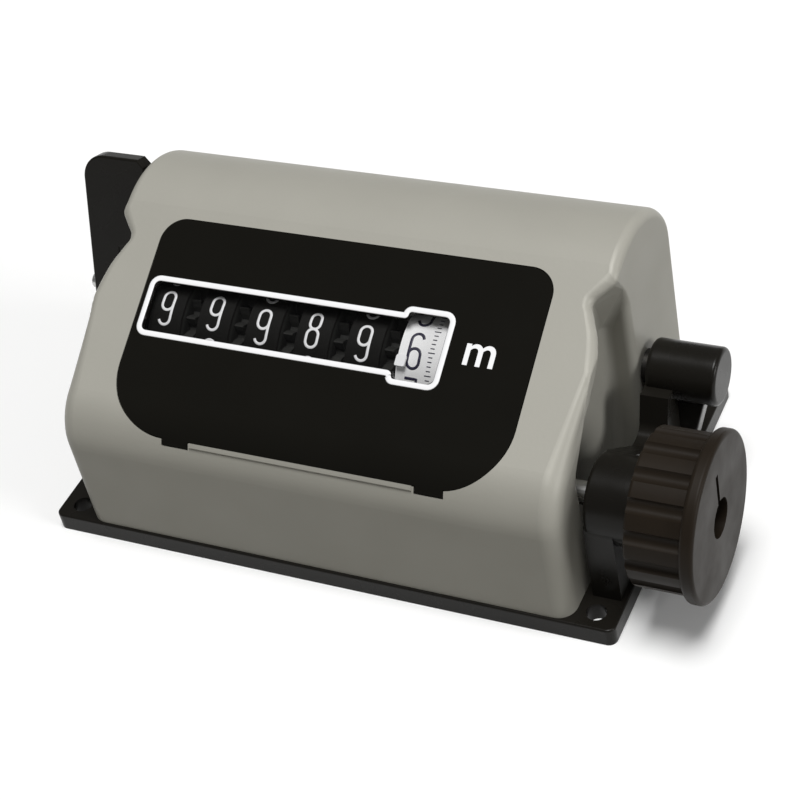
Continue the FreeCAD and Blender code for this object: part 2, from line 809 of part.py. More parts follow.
def bearing_bushes():
    ky, kz = knob_axis
    dy, dz = drive_axis
    knob_end = bracket_out + knob_barrel_out
    front = tube(shaft_r + 1.4, shaft_r + fit, bracket_x, knob_end, ky, kz)
    back = tube(drive_shaft_r + 1.4, drive_shaft_r + fit, bracket_x, bracket_out + drive_barrel_out - 2, dy, dz)
    return Part.makeCompound([front, back])


def drive_shaft():
    x0 = -(bracket_out + lever_gap + lever_hub)
    x1 = bracket_out + drive_barrel_out - 2.5
    journal = cyl(shaft_end_r, x0 - shaft_end, x0, *drive_axis)
    tip = [e for e in journal.Edges if abs(e.CenterOfMass.x - x0 + shaft_end) < 1e-6]
    return fused([cyl(drive_shaft_r, x0, x1, *drive_axis), journal.makeChamfer(0.3, tip)])


def drive_shaft_cap():
    """Closed end of the drive barrel, with a spigot in its bore."""
    y, z = drive_axis
    x0 = bracket_out + drive_barrel_out
    head = cyl(drive_barrel_r, x0, x0 + drive_cap_thick, y, z)
    head = rounded(head, 0.8, lambda e: len(e.Vertexes) == 1 and e.CenterOfMass.x > x0 + 0.1)
    return fused([head, cyl(drive_shaft_r + 1.4, x0 - 1.5, x0, y, z)])


def thrust_ring():
    y, z = drive_axis
    return tube(drive_shaft_r + 1.2, drive_shaft_r, hood_half + 0.2, bracket_x - 0.2, y, z)


def lever_sleeve():
    """Tube round the drive shaft that carries the lever and the pinion cradle."""
    x0 = -(bracket_out + lever_gap + lever_hub)
    x1 = plate_left + plate_thick + 0.2 + arm_thick
    return tube(sleeve_r, drive_shaft_r + fit, x0, x1, *drive_axis)


def pinion_cradle():
    left_x = plate_left + plate_thick + 0.2
    parts = []
    for x, bore in ((left_x, sleeve_r), (arm_right, drive_shaft_r + fit)):
        parts.append(cradle_arm(x, bore))
    return Part.makeCompound(parts)


def cradle_arm(x, bore):
    (dy, dz), (py, pz) = drive_axis, pinion_axis
    turn = math.atan2(pz - dz, py - dy)
    points = [polar(drive_axis, arm_half, turn + math.pi / 2), polar(pinion_axis, 2.2, turn + math.pi / 2)]
    points += [polar(pinion_axis, 2.2, turn - math.pi / 2), polar(drive_axis, arm_half, turn - math.pi / 2)]
    x1 = x + arm_thick
    body = fused([side_prism(points, x, x1), cyl(4.2, x, x1, dy, dz), cyl(2.2, x, x1, py, pz)])
    return body.cut(cyl(bore, x - 1, x1 + 1, dy, dz)).cut(cyl(pinion_shaft_r, x - 1, x1 + 1, py, pz))


def pinion_shaft():
    x0 = plate_left + plate_thick + 0.2
    return cyl(pinion_shaft_r, x0, arm_right + arm_thick, *pinion_axis)


def disengage_lever():
    """Hub round the sleeve and a wide thumb tab that leans back, in front of the hub."""
    x_in = -(bracket_out + lever_gap)
    x_out = x_in - lever_hub
    y, z = drive_axis
    tab_in_x = -(hood_half + lever_side)
    tab_out_x = tab_in_x - lever_wide
    top = lever_reach
    low = 11.5
    outline = [(x_in, -3.5), (x_in, low - 1.5), (tab_in_x, low), (tab_in_x, top), (tab_out_x, top), (tab_out_x, -3.5)]
    loop = [vec(x, -lever_front, t) for x, t in outline]
    tab = Part.Face(Part.makePolygon(loop + [loop[0]])).extrude(vec(0, lever_thick, 0))
    outer = [e for e in across(tab) if e.CenterOfMass.z > top - 0.1 and e.CenterOfMass.x < tab_out_x + 1]
    tab = tab.makeFillet(lever_corner_r, outer)
    inner = [e for e in across(tab) if e.CenterOfMass.z > top - 0.1 and e.CenterOfMass.x > tab_in_x - 1]
    tab = tab.makeChamfer(1.3, inner)
    faces = [e for e in tab.Edges if abs(e.CenterOfMass.y + lever_front) < 1e-6]
    tab = tab.makeFillet(0.4, faces)
    tab.rotate(vec(0, 0, 0), X, -lever_lean)
    tab.translate(vec(0, y, z))
    body = fused([tab, cyl(lever_hub_r, x_out, x_in, y, z)])
    return body.cut(cyl(sleeve_r, x_out - 1, x_in + 1, y, z))


def across(tab):
    return [e for e in tab.Edges if abs(e.Vertexes[0].Point.y - e.Vertexes[-1].Point.y) > 1]


def build():
    """Every sub-part by its node name."""
    parts = {"base_plate": base_plate(), "hood": hood(), "front_panel": front_panel()}
    parts["window_lens"] = window_lens()
    parts["right_bracket"] = right_bracket()
    parts["left_bracket"] = left_bracket()
    parts["left_side_plate"] = left_side_plate()
    parts["right_side_plate"] = right_side_plate()
    parts["plate_bushes"] = plate_bushes()
    parts["bearing_bushes"] = bearing_bushes()
    parts["tie_rods"] = tie_rods()
    parts["tie_rod_screws"] = tie_rod_screws()
    parts["foot_screws"] = foot_screws_set()
    parts["hood_screws"] = under_screws(hood_screws(), 5.5)
    parts["bracket_screws"] = under_screws(bracket_screws(), 5.5)
    for k in range(drum_count):
        parts["digit_drum_%d" % (k + 1)] = digit_drum(k)
    for k in range(drum_count - 1):
        parts["transfer_pinion_%d" % (k + 1)] = transfer_pinion(k)
    parts["units_gear"] = units_gear()
    parts["drum_shaft"] = drum_shaft()
    parts["drum_shaft_gear"] = drum_shaft_gear()
    parts["drum_spacers"] = drum_spacers()
    parts["knob_gear"] = knob_gear()
    parts["knob_shaft"] = knob_shaft()
    parts["reset_knob"] = reset_knob()
    parts["knob_screw"] = knob_screw()
    parts["drive_shaft"] = drive_shaft()
    parts["drive_pinion"] = drive_pinion()
    parts["drive_shaft_cap"] = drive_shaft_cap()
    parts["thrust_ring"] = thrust_ring()
    parts["lever_sleeve"] = lever_sleeve()
    parts["pinion_cradle"] = pinion_cradle()
    parts["pinion_shaft"] = pinion_shaft()
    parts["disengage_lever"] = disengage_lever()
    return parts


os.makedirs("parts", exist_ok=True)
for name, shape in build().items():
    shape.exportStep("parts/%s.step" % name)
    print(name, len(shape.Solids), "solids", shape.isValid(), "volume", round(shape.Volume, 1))
print("drum axis", drum_axis, "drive axis", drive_axis, "knob axis", knob_axis)
print("pinion axis", pinion_axis, "hood half width", hood_half, "base half width", base_half)
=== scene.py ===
import json
import math

import bmesh
import bpy
from mathutils import Matrix, Vector
from mathutils.kdtree import KDTree

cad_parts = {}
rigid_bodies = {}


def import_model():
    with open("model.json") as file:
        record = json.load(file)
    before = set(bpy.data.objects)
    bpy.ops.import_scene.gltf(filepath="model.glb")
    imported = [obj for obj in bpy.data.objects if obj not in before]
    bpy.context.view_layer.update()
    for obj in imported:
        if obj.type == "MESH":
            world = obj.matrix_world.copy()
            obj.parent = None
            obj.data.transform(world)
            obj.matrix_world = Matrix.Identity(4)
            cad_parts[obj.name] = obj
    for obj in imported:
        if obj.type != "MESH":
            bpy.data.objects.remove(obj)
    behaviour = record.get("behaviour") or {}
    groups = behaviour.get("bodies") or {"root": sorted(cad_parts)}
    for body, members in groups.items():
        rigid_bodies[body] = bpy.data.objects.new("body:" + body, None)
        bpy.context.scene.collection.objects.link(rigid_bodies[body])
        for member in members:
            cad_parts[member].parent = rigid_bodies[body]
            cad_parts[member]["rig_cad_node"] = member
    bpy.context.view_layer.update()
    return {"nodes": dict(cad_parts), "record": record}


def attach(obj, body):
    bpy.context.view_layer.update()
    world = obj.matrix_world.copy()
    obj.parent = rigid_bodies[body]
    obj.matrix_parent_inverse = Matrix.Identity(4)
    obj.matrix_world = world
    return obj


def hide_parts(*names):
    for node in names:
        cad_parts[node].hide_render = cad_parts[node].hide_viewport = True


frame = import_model()
nodes = frame["nodes"]
mm = 0.001

# A cable length counter on its flat base, in the part's own frame: X along
# the drums, Y from front to back, Z up. The scene is in metres. Sizes in the
# dictionaries are in mm and angles in degrees, apart from the places of the
# camera and the lamps and the depths of grain, which are in metres.

photoCamera = {
    "place": (0.1530, -0.2300, 0.2546),
    "azimuth": 32.87,
    "elevation": 41.07,
    "roll": -13.24,
    "lens": 92.0,
    "film": 36.0,
}

slope = {
    "tilt": 28.6,
    "cornerY": -31.0,   # where the slope would meet the front
    "cornerZ": 28.3,
}

drum = {
    "count": 6,
    "pitch": 9.7,
    "lastX": 15.7,
    "radius": 12.4,
    "axisAlong": 24.8,  # up the slope
    "axisDepth": 14.7,  # under the slope
    "digits": 10,
    "shown": [9, 9, 9, 8, 9, 6],
    "lag": [2.4, 0.6, 5.4, 1.7, 5.6, 5.1],  # turned past the window's middle
}

tilt = math.radians(slope["tilt"])
lastDrum = drum["count"] - 1


def onSlope(along, depth=0.0):
    # y and z of a spot so far up the slope and so deep under it
    y = slope["cornerY"] + along * math.cos(tilt) + depth * math.sin(tilt)
    z = slope["cornerZ"] + along * math.sin(tilt) - depth * math.cos(tilt)
    return y, z


def alongSlope(spot):
    # the other way round: how far up the slope and how deep a vertex is
    y, z = spot.y / mm - slope["cornerY"], spot.z / mm - slope["cornerZ"]
    return y * math.cos(tilt) + z * math.sin(tilt), y * math.sin(tilt) - z * math.cos(tilt)


# Picking, editing and finishing


def deselectAll():
    if bpy.context.object and bpy.context.object.mode != "OBJECT":
        bpy.ops.object.mode_set(mode="OBJECT")
    bpy.ops.object.select_all(action="DESELECT")


def pick(*pieces):
    deselectAll()
    for piece in pieces:
        piece.select_set(True)
    bpy.context.view_layer.objects.active = pieces[0]


def edit(piece, mode):
    pick(piece)
    bpy.ops.object.mode_set(mode="EDIT")
    bpy.ops.mesh.select_mode(type=mode)
    bpy.ops.mesh.select_all(action="DESELECT")


def done(piece):
    bpy.ops.object.mode_set(mode="OBJECT")
    pick(piece)
    return piece


def chooseEdges(piece, test):
    # picks the edges whose middle passes the test
    mesh = bmesh.from_edit_mesh(piece.data)
    for side in mesh.edges:
        side.select_set(bool(test((side.verts[0].co + side.verts[1].co) / 2)))
    mesh.select_flush_mode()
    bmesh.update_edit_mesh(piece.data)


def applyPlace(piece):
    pick(piece)
    bpy.ops.object.transform_apply(location=True, rotation=True, scale=True)
    return piece


def applySteps(piece):
    pick(piece)
    for step in list(piece.modifiers):
        bpy.ops.object.modifier_apply(modifier=step.name)
    return piece


def putOn(piece, body, material):
    piece.data.materials.clear()
    piece.data.materials.append(material)
    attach(piece, body)


def layOnSlope(piece):
    # flat work in mm, drawn with X across and Y up the slope, goes onto the face
    y, z = onSlope(0)
    piece.scale = (mm, mm, mm)
    piece.rotation_euler = (tilt, 0, 0)
    piece.location = (0, y * mm, z * mm)
    return applyPlace(piece)


# Finishes. Mottle, flake, patches and grain are scales of noise: mottle and
# flake for the colour, patches for the sheen and grain for the skin. Tone,
# vary and sheen are shares of a colour or a roughness.

octaves = {
    "mottle": 4,
    "flake": 1,
    "patches": 3,
    "grain": 2,
    "lines": 4,
}

hoodFinish = {
    "colour": (0.385, 0.375, 0.330),
    "mottle": 45,
    "tone": (0.95, 1.05),
    "flake": 9000,
    "flakeTone": (0.86, 1.0),
    "flakeShare": 0.4,
    "patches": 120,
    "rough": (0.42, 0.52),
    "grain": 1500,
    "peel": 0.000010,
    "metal": 0.08,
    "gloss": 0.25,
}

moulding = {
    "mottle": 60,
    "patches": 140,
    "sheen": (0.85, 1.2),
}

panelFinish = {
    "colour": (0.0075, 0.0070, 0.0055),
    "vary": 0.1,
    "rough": 0.15,
    "grain": 700,
    "depth": 0.000003,
    "gloss": 0.10,
}

blackFinish = {
    "colour": (0.0095, 0.0085, 0.0068),
    "vary": 0.15,
    "rough": 0.28,
    "grain": 1300,
    "depth": 0.000008,
    "gloss": 0.16,
}

knobFinish = {
    "colour": (0.017, 0.0125, 0.0085),
    "vary": 0.25,
    "rough": 0.42,
    "grain": 900,
    "depth": 0.00001,
    "gloss": 0.10,
}

pinionFinish = {
    "colour": (0.34, 0.34, 0.32),
    "vary": 0.06,
    "rough": 0.42,
    "grain": 1500,
    "depth": 0.000008,
    "gloss": 0.5,
}

whiteInk = {
    "colour": (0.90, 0.90, 0.91),
    "vary": 0.02,
    "rough": 0.5,
    "grain": 2500,
    "depth": 0.000003,
    "gloss": 0.5,
}

blueInk = {
    "colour": (0.020, 0.018, 0.045),
    "vary": 0.1,
    "rough": 0.45,
    "grain": 2500,
    "depth": 0.000003,
    "gloss": 0.5,
}

brushing = {
    "tone": (0.86, 1.1),
    "sheen": (0.8, 1.3),
    "depth": 0.00001,
}

# colour, roughness, and how close the lines lie along X, Y and Z
metals = {
    "ground steel": ((0.56, 0.56, 0.55), 0.3, (30, 3000, 3000)),
    "plate steel": ((0.50, 0.50, 0.49), 0.42, (4000, 60, 900)),
    "turned brass": ((0.72, 0.52, 0.24), 0.3, (2500, 300, 300)),
    "blackened steel": ((0.045, 0.043, 0.04), 0.45, (300, 900, 900)),
}

lensFinish = {
    "colour": (0.02, 0.02, 0.02),
    "alpha": 0.06,
    "grain": 300,      # of the sheen
    "rough": (0.02, 0.06),
    "gloss": 0.3,
}

drumFinish = {
    # the inside colours are painted light, not the drums' own colour: a grey painted highlight on the
    # teeth and webs of the black drums, painted shade inside the white drum
    "black": {"rim": (0.0065, 0.0062, 0.0055), "paintedLightInside": (0.030, 0.030, 0.028), "gloss": 0.12},
    "white": {"rim": (0.97, 0.97, 0.97), "paintedLightInside": (0.45, 0.45, 0.44), "gloss": 0.4},
    "fade": (0.7, 0.5),    # depths under the rim where the inside's shade gives way
    "patches": 200,
    "rough": (0.42, 0.6),
    "grain": 2500,
    "depth": 0.000006,
}


def newMaterial(name):
    material = bpy.data.materials.new(name)
    material.use_nodes = True
    tree = material.node_tree
    return material, tree, tree.nodes["Principled BSDF"]


def noiseAt(tree, place, scale, detail):
    texture = tree.nodes.new("ShaderNodeTexNoise")
    texture.inputs["Scale"].default_value = scale
    texture.inputs["Detail"].default_value = detail
    tree.links.new(place, texture.inputs["Vector"])
    return texture.outputs["Fac"]


def noise(tree, finish, kind):
    # one of a finish's noises
    place = tree.nodes.new("ShaderNodeTexCoord")
    return noiseAt(tree, place.outputs["Object"], finish[kind], octaves[kind])


def fineLines(tree, closeness):
    # noise drawn out into lines
    place = tree.nodes.new("ShaderNodeTexCoord")
    stretch = tree.nodes.new("ShaderNodeMapping")
    stretch.inputs["Scale"].default_value = closeness
    tree.links.new(place.outputs["Object"], stretch.inputs["Vector"])
    return noiseAt(tree, stretch.outputs["Vector"], 1.0, octaves["lines"])


def spread(tree, source, low, high, start=0.25, end=0.75):
    # maps a value between start and end onto the range low to high
    step = tree.nodes.new("ShaderNodeMapRange")
    step.inputs["From Min"].default_value = start
    step.inputs["From Max"].default_value = end
    step.inputs["To Min"].default_value = low
    step.inputs["To Max"].default_value = high
    tree.links.new(source, step.inputs["Value"])
    return step.outputs["Result"]


def mixColours(tree, source, first, second):
    mix = tree.nodes.new("ShaderNodeMix")
    mix.data_type = "RGBA"
    mix.inputs["A"].default_value = (*first, 1)
    mix.inputs["B"].default_value = (*second, 1)
    tree.links.new(source, mix.inputs["Factor"])
    return mix.outputs["Result"]


def shades(tree, source, colour, low, high):
    # a colour wavering between a low and a high share of itself
    dark = tuple(min(1.0, c * low) for c in colour)
    light = tuple(min(1.0, c * high) for c in colour)
    return mixColours(tree, source, dark, light)


def setSheen(tree, shader, source, low, high):
    tree.links.new(spread(tree, source, low, high), shader.inputs["Roughness"])


def roughen(tree, shader, source, distance):
    bump = tree.nodes.new("ShaderNodeBump")
    bump.inputs["Distance"].default_value = distance
    tree.links.new(source, bump.inputs["Height"])
    tree.links.new(bump.outputs["Normal"], shader.inputs["Normal"])


def hoodPaint():
    # warm grey enamel with a satin sheen, fine flake and a light orange peel
    material, tree, shader = newMaterial("hood enamel")
    finish = hoodFinish
    tone = shades(tree, noise(tree, finish, "mottle"), finish["colour"], *finish["tone"])
    speck = shades(tree, noise(tree, finish, "flake"), (1.0, 1.0, 1.0), *finish["flakeTone"])
    grain = tree.nodes.new("ShaderNodeMix")
    grain.data_type = "RGBA"
    grain.blend_type = "MULTIPLY"
    grain.inputs["Factor"].default_value = finish["flakeShare"]
    tree.links.new(tone, grain.inputs["A"])
    tree.links.new(speck, grain.inputs["B"])
    tree.links.new(grain.outputs["Result"], shader.inputs["Base Color"])
    setSheen(tree, shader, noise(tree, finish, "patches"), *finish["rough"])
    roughen(tree, shader, noise(tree, finish, "grain"), finish["peel"])
    shader.inputs["Metallic"].default_value = finish["metal"]
    shader.inputs["Specular IOR Level"].default_value = finish["gloss"]
    return material


def mouldedLook(name, finish):
    # moulded plastic or print: light mottling, a fine skin and uneven sheen
    material, tree, shader = newMaterial(name)
    vary, rough = finish["vary"], finish["rough"]
    low, high = moulding["sheen"]
    shade = shades(tree, noise(tree, moulding, "mottle"), finish["colour"], 1 - vary, 1 + vary)
    tree.links.new(shade, shader.inputs["Base Color"])
    setSheen(tree, shader, noise(tree, moulding, "patches"), rough * low, rough * high)
    roughen(tree, shader, noise(tree, finish, "grain"), finish["depth"])
    shader.inputs["Specular IOR Level"].default_value = finish["gloss"]
    return material


def metalLook(name):
    # turned or brushed metal, its fine lines along one way
    material, tree, shader = newMaterial(name)
    colour, rough, closeness = metals[name]
    low, high = brushing["sheen"]
    source = fineLines(tree, closeness)
    tree.links.new(shades(tree, source, colour, *brushing["tone"]), shader.inputs["Base Color"])
    setSheen(tree, shader, source, rough * low, rough * high)
    roughen(tree, shader, source, brushing["depth"])
    shader.inputs["Metallic"].default_value = 1.0
    return material


def clearLook():
    material, tree, shader = newMaterial("window clear")
    shader.inputs["Base Color"].default_value = (*lensFinish["colour"], 1)
    shader.inputs["Alpha"].default_value = lensFinish["alpha"]
    shader.inputs["Specular IOR Level"].default_value = lensFinish["gloss"]
    setSheen(tree, shader, noise(tree, lensFinish, "grain"), *lensFinish["rough"])
    return material


def drumLook(shade):
    # the print band is plain; the webs and teeth inside the rim carry painted light: a grey painted
    # highlight inside the black drums, painted shade inside the white one
    material, tree, shader = newMaterial("drum " + shade)
    finish = drumFinish[shade]
    place = tree.nodes.new("ShaderNodeTexCoord")
    split = tree.nodes.new("ShaderNodeSeparateXYZ")
    flat = tree.nodes.new("ShaderNodeCombineXYZ")
    away = tree.nodes.new("ShaderNodeVectorMath")
    away.operation = "DISTANCE"
    y, z = onSlope(drum["axisAlong"], drum["axisDepth"])
    away.inputs[1].default_value = (0, y * mm, z * mm)
    tree.links.new(place.outputs["Object"], split.inputs["Vector"])
    tree.links.new(split.outputs["Y"], flat.inputs["Y"])
    tree.links.new(split.outputs["Z"], flat.inputs["Z"])
    tree.links.new(flat.outputs["Vector"], away.inputs[0])
    # edge masks the painted light: deeper than the rim the colour goes over to the painted highlight or
    # painted shade of the inside
    start, end = [(drum["radius"] - depth) * mm for depth in drumFinish["fade"]]
    edge = spread(tree, away.outputs["Value"], 0.0, 1.0, start, end)
    tree.links.new(mixColours(tree, edge, finish["paintedLightInside"], finish["rim"]), shader.inputs["Base Color"])
    setSheen(tree, shader, noise(tree, drumFinish, "patches"), *drumFinish["rough"])
    roughen(tree, shader, noise(tree, drumFinish, "grain"), drumFinish["depth"])
    shader.inputs["Specular IOR Level"].default_value = finish["gloss"]
    return material


print("materials")
hoodEnamel = hoodPaint()
blackPlastic = mouldedLook("black moulding", blackFinish)
knobPlastic = mouldedLook("knob black", knobFinish)
printWhite = mouldedLook("white print", whiteInk)
printBlue = mouldedLook("dark blue print", blueInk)
steel = metalLook("ground steel")
darkSteel = metalLook("blackened steel")
brass = metalLook("turned brass")

slotLooks = {
    "black_plastic": blackPlastic,
    "hood_paint": hoodEnamel,
    "panel_black": mouldedLook("panel gloss", panelFinish),
    "clear": clearLook(),
    "plate_steel": metalLook("plate steel"),
    "shaft_steel": steel,
    "screw_steel": steel,
    "bush_brass": brass,
    "drum_black": drumLook("black"),
    "drum_white": drumLook("white"),
    "pinion_grey": mouldedLook("grey moulding", pinionFinish),
    "pinion_brass": brass,
}

# nodes that look unlike the others in their slot
ownLooks = {
    "reset_knob": knobPlastic,
    "knob_screw": darkSteel,
    "thrust_ring": darkSteel,
}

for subpart in frame["record"]["subparts"]:
    name = subpart["node"]
    node = nodes[name]
    node.data.materials.clear()
    node.data.materials.append(ownLooks.get(name, slotLooks[subpart["material_slot"]]))

# Hood, as moulded: a fuller back to its crown, and a shallower dip where the
# side recesses break through the slope

hoodForm = {
    "crownMiddle": (13.75, 34.81),  # y and z of the plain crown arc
    "crownRadius": 15.7,
    "core": 1.0,                    # what lies this near the middle is left alone
    "frontArc": (13.69, 33.30, 17.0),
    "heelArc": (20.95, 37.70, 8.5),
    "back": 29.45,
    "lipFrom": 38.5,                # the lips lie this far out, at either end
    "outside": 47.0,
    "fades": (1.0, 10.0),           # how deep under the slope the lip's move dies out
    # distance up the slope, and how far out the lip goes there
    "lip": [
        (17.0, 0.0), (19.0, 0.5), (21.8, 1.3), (24.5, 2.3), (27.8, 3.4), (29.5, 3.6), (31.0, 3.5),
        (34.0, 2.6), (36.5, 1.4), (38.0, 1.2), (39.5, 0.9), (41.0, 0.2), (42.5, 0.0),
    ],
}


def cornerSpot(mesh, corner):
    return mesh.vertices[mesh.loops[corner].vertex_index].co


def keepShade(mesh, plain):
    # each corner of the merged mesh takes the shading normal of the plain one
    tree = KDTree(len(plain.polygons))
    for face in plain.polygons:
        tree.insert(face.center, face.index)
    tree.balance()
    normals = []
    for face in mesh.polygons:
        twin = plain.polygons[tree.find(face.center)[1]]
        for corner in face.loop_indices:
            spot = cornerSpot(mesh, corner)
            near = min(twin.loop_indices, key=lambda c: (cornerSpot(plain, c) - spot).length)
            normals.append(plain.corner_normals[near].vector.copy())
    mesh.normals_split_custom_set(normals)


def mergedCopy(node, name):
    # a copy of a CAD node, no CAD node itself, with its loose triangles joined up
    pick(nodes[node])
    bpy.ops.object.duplicate()
    work = bpy.context.object
    work.name = name
    del work["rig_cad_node"]
    edit(work, "VERT")
    bpy.ops.mesh.select_all(action="SELECT")
    bpy.ops.mesh.remove_doubles(threshold=0.000001)
    done(work)
    keepShade(work.data, nodes[node].data)
    return work


def reachTo(away, arc):
    # distance from the plain crown's middle to an arc, along one direction
    centre = Vector(arc[:2]) - Vector(hoodForm["crownMiddle"])
    along = away.dot(centre)
    return along + math.sqrt(arc[2] ** 2 - centre.length_squared + along ** 2)


def fullerCrown(y, z):
    # swells the plain crown arc, about its middle, to two arcs and a flat back
    middle = Vector(hoodForm["crownMiddle"])
    away = Vector((y, z)) - middle
    if away.length < hoodForm["core"] or away.y < 0 or away.x < -away.y * math.tan(tilt):
        return y, z
    away.normalize()
    front, heel = hoodForm["frontArc"], hoodForm["heelArc"]
    reach = reachTo(away, front)
    hit = middle + away * reach
    meets = Vector(heel[:2]) - Vector(front[:2])
    if (hit - Vector(front[:2])).angle_signed(meets) < 0:
        reach = reachTo(away, heel)
        if (middle + away * reach).y < heel[1]:
            reach = (hoodForm["back"] - middle.x) / away.x
    grown = reach / hoodForm["crownRadius"]
    return middle.x + (y - middle.x) * grown, middle.y + (z - middle.y) * grown


def lipReach(along):
    # how far out the lip goes, straight from one pair of the table to the next
    table = hoodForm["lip"]
    for (a, low), (b, high) in zip(table, table[1:]):
        if a < along <= b:
            return low + (high - low) * (along - a) / (b - a)
    return 0.0


def lipMove(along, depth):
    shallow, deep = hoodForm["fades"]
    fade = min(1.0, max(0.0, (deep - depth) / (deep - shallow)))
    return lipReach(along) * fade * fade * (3 - 2 * fade)


def formHood(piece):
    for spot in piece.data.vertices:
        along, depth = alongSlope(spot.co)
        side = 1 if spot.co.x > 0 else -1
        out = abs(spot.co.x) / mm
        if out > hoodForm["lipFrom"] and depth < hoodForm["fades"][1]:
            out = min(out + lipMove(along, depth), max(out, hoodForm["outside"]))
            spot.co.x = side * out * mm
        y, z = fullerCrown(spot.co.y / mm, spot.co.z / mm)
        spot.co.y, spot.co.z = y * mm, z * mm


print("hood")
hoodShell = mergedCopy("hood", "hoodShell")
formHood(hoodShell)
putOn(hoodShell, "housing", hoodEnamel)
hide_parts("hood")

# Web that closes the lever's tab to the hub, and the rib under the drive barrel: a black block, partly
# a support and partly a dark piece set where shade falls under the barrel

leverWeb = {
    "x": (-54.7, -47.6),
    "thick": (-5.95, -3.35),   # square to the tab, from the drive axis
    "reach": (6.3, 11.9),      # along the tab
    "lean": 19.0,
    "corner": 2.2,
    "edge": 0.3,
}

# the rib is partly a support and partly a dark piece standing in for the shade between the barrel and
# the knob
barrelRib = {
    "x": (53.3, 58.2),
    "y": (8.3, 12.8),
    "z": (5.0, 18.6),
    "toe": 3.6,                # how far the foot is drawn in
    "edge": 0.4,
}

driveAxis = (11.726, 22.528)   # y and z
slack = 0.1                    # an edge nearer than this to a side lies on it
smoothUnder = 35               # bends under this angle are shaded smooth


def block(name, x, y, z):
    deselectAll()
    middle = [(a + b) / 2 for a, b in (x, y, z)]
    bpy.ops.mesh.primitive_cube_add(size=1, location=middle)
    work = bpy.context.object
    work.name = name
    work.scale = [b - a for a, b in (x, y, z)]
    return applyPlace(work)


def rightFoot(x, z):
    # a test for the edge at the foot of a block's right-hand side
    return lambda middle: middle.x > x[1] - slack and middle.z < z[0] + slack


def easeEdges(work, width):
    # rounds every edge a little, and keeps the flats between them looking flat
    edit(work, "EDGE")
    bpy.ops.mesh.select_all(action="SELECT")
    bpy.ops.mesh.bevel(offset=width, segments=2, affect="EDGES")
    done(work)
    bpy.ops.object.shade_smooth_by_angle(angle=math.radians(smoothUnder))
    step = work.modifiers.new("evenShade", "WEIGHTED_NORMAL")
    step.keep_sharp = True
    step.weight = 100
    applySteps(work)


def makeLeverWeb():
    web = leverWeb
    work = block("leverWeb", web["x"], web["thick"], web["reach"])
    edit(work, "EDGE")
    chooseEdges(work, rightFoot(web["x"], web["reach"]))
    bpy.ops.mesh.bevel(offset=web["corner"], segments=5, affect="EDGES")
    done(work)
    easeEdges(work, web["edge"])
    work.scale = (mm, mm, mm)
    work.rotation_euler = (-math.radians(web["lean"]), 0, 0)
    work.location = (0, driveAxis[0] * mm, driveAxis[1] * mm)
    return applyPlace(work)


def makeBarrelRib():
    rib = barrelRib
    work = block("barrelRib", rib["x"], rib["y"], rib["z"])
    edit(work, "EDGE")
    chooseEdges(work, rightFoot(rib["x"], rib["z"]))
    bpy.ops.transform.translate(value=(-rib["toe"], 0, 0))
    done(work)
    easeEdges(work, rib["edge"])
    work.scale = (mm, mm, mm)
    return applyPlace(work)


print("lever web and barrel rib")
putOn(makeLeverWeb(), "lever", blackPlastic)
putOn(makeBarrelRib(), "housing", blackPlastic)

# Drawing with a round pen

pen = {
    "bow": 10,       # steps in a half circle
    "corner": 6,     # steps round a corner of an outline
    "run": 0.5,      # longest straight step
    "sides": 2,      # how round a stroke is across
}


def bow(cx, cy, r, start, stop):
    # points along a round stretch
    count = max(3, round(pen["bow"] * abs(stop - start) / 180))
    found = []
    for i in range(count + 1):
        a = math.radians(start + (stop - start) * i / count)
        found.append((cx + r * math.cos(a), cy + r * math.sin(a)))
    return found


def roundedLoop(corners):
    # closed outline from (x, y, radius) corners
    found = []
    total = len(corners)
    for i, (x, y, r) in enumerate(corners):
        here = Vector((x, y))
        before = (Vector(corners[i - 1][:2]) - here).normalized()
        after = (Vector(corners[(i + 1) % total][:2]) - here).normalized()
        half = before.angle(after) / 2
        reach = r / math.tan(half)
        centre = here + (before + after).normalized() * (r / math.sin(half))
        first = here + before * reach - centre
        last = here + after * reach - centre
        swing = first.angle_signed(last)
        for k in range(pen["corner"] + 1):
            turned = first.copy()
            turned.rotate(Matrix.Rotation(-swing * k / pen["corner"], 2))
            found.append(tuple(centre + turned))
    return found


def closer(points):
    # adds points to long straight runs, so that a print can follow a drum
    found = [points[0]]
    for x, y in points[1:]:
        x0, y0 = found[-1]
        steps = max(1, math.ceil(math.hypot(x - x0, y - y0) / pen["run"]))
        for k in range(1, steps + 1):
            found.append((x0 + (x - x0) * k / steps, y0 + (y - y0) * k / steps))
    return found


def drawLines(name, lines, width, rise):
    # strokes of one width lying flat, as (closed, points)
    deselectAll()
    bpy.ops.curve.primitive_bezier_curve_add()
    work = bpy.context.object
    work.name = name
    work.data.splines.clear()
    for closed, points in lines:
        points = closer(points + points[:1])[:-1] if closed else closer(points)
        line = work.data.splines.new("POLY")
        line.points.add(len(points) - 1)
        line.use_cyclic_u = closed
        for spot, (x, y) in zip(line.points, points):
            spot.co = (x, y, 0, 1)
    work.data.dimensions = "3D"
    work.data.bevel_depth = width / 2
    work.data.bevel_resolution = pen["sides"]
    work.data.use_fill_caps = True
    bpy.ops.object.convert(target="MESH")
    work = bpy.context.object
    work.scale = (1, 1, 2 * rise / width)
    bpy.ops.object.transform_apply(location=False, rotation=False, scale=True)
    return work


def drumX(k):
    return drum["lastX"] - drum["pitch"] * (lastDrum - k)


def drumAngle(k, steps):
    # where a numeral sits round its drum, so many digits from the one shown
    return math.radians(90 + slope["tilt"] + 360 / drum["digits"] * steps + drum["lag"][k])


